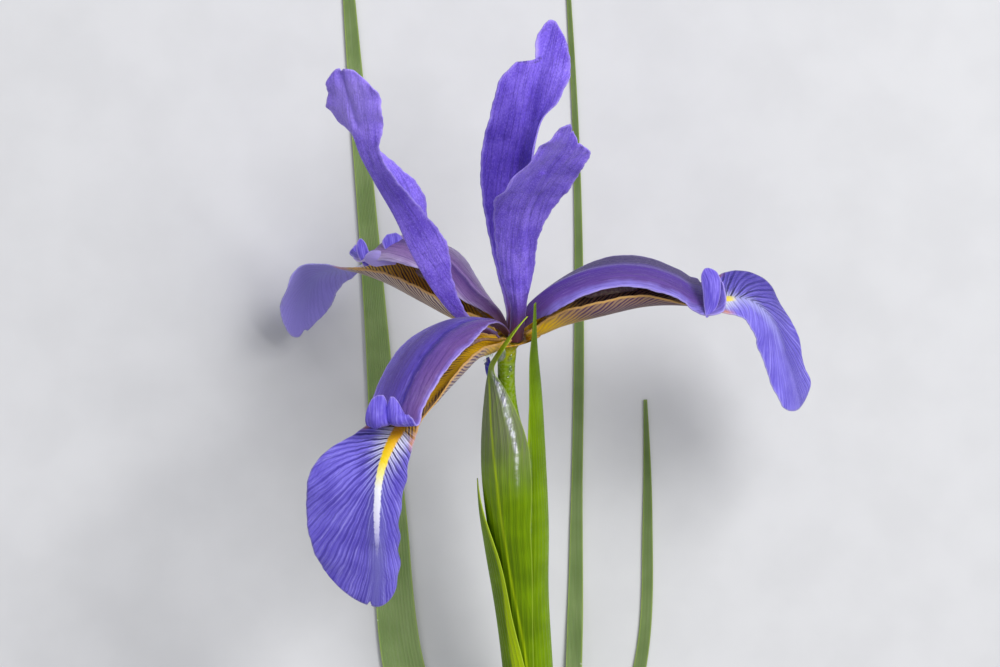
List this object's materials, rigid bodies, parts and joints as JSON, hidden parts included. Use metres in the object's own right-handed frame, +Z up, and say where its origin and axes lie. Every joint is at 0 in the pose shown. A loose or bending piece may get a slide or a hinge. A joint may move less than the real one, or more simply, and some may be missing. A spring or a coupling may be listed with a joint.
{
  "type": "dutch iris flower",
  "caption": "Picked dutch iris lying down: spreading violet falls, upright standards and style arms over a green spathe, on a leafy cut stem.",
  "frame": {"origin": "centre of the bounding box's underside, on the surface that the flower lies on", "axes": "+Y along the stem from the cut end to the flower, +Z up from the surface, +X to the right as the flower is seen from above"},
  "size_m": [0.1178, 0.288, 0.1031],
  "materials": {
    "fall": "satin petal: lavender-blue with darker veins, a yellow signal patch and brown-veined haft",
    "standard": "satin petal: blue-violet with fine streaks",
    "style_arm": "satin petal-like style arm: mauve-violet with pale edges and lavender crest lobes",
    "stamen": "dull cream filament and anther",
    "spathe": "glossy yellow-green bract with long parallel veins and a papery silvery tip",
    "ovary_and_tube": "smooth green, yellow where the petals leave it",
    "second_bud": "deep blue rolled petal tip",
    "stem": "smooth mid green, pale on the cut",
    "leaf": "satin grey-green strap leaf with long parallel veins"
  },
  "bodies": {
    "root": {"fall_right": "fall", "fall_front": "fall", "fall_back": "fall", "standard_left": "standard", "standard_back": "standard", "standard_front": "standard", "style_right": "style_arm", "style_front": "style_arm", "style_back": "style_arm", "stamen_right": "stamen", "stamen_front": "stamen", "stamen_back": "stamen", "spathe_main": "spathe", "spathe_right": "spathe", "spathe_outer": "spathe", "ovary_and_tube": "ovary_and_tube", "second_bud": "second_bud", "stem": "stem", "leaf_left": "leaf", "leaf_middle": "leaf", "leaf_right": "leaf"}
  },
  "joints": []
}
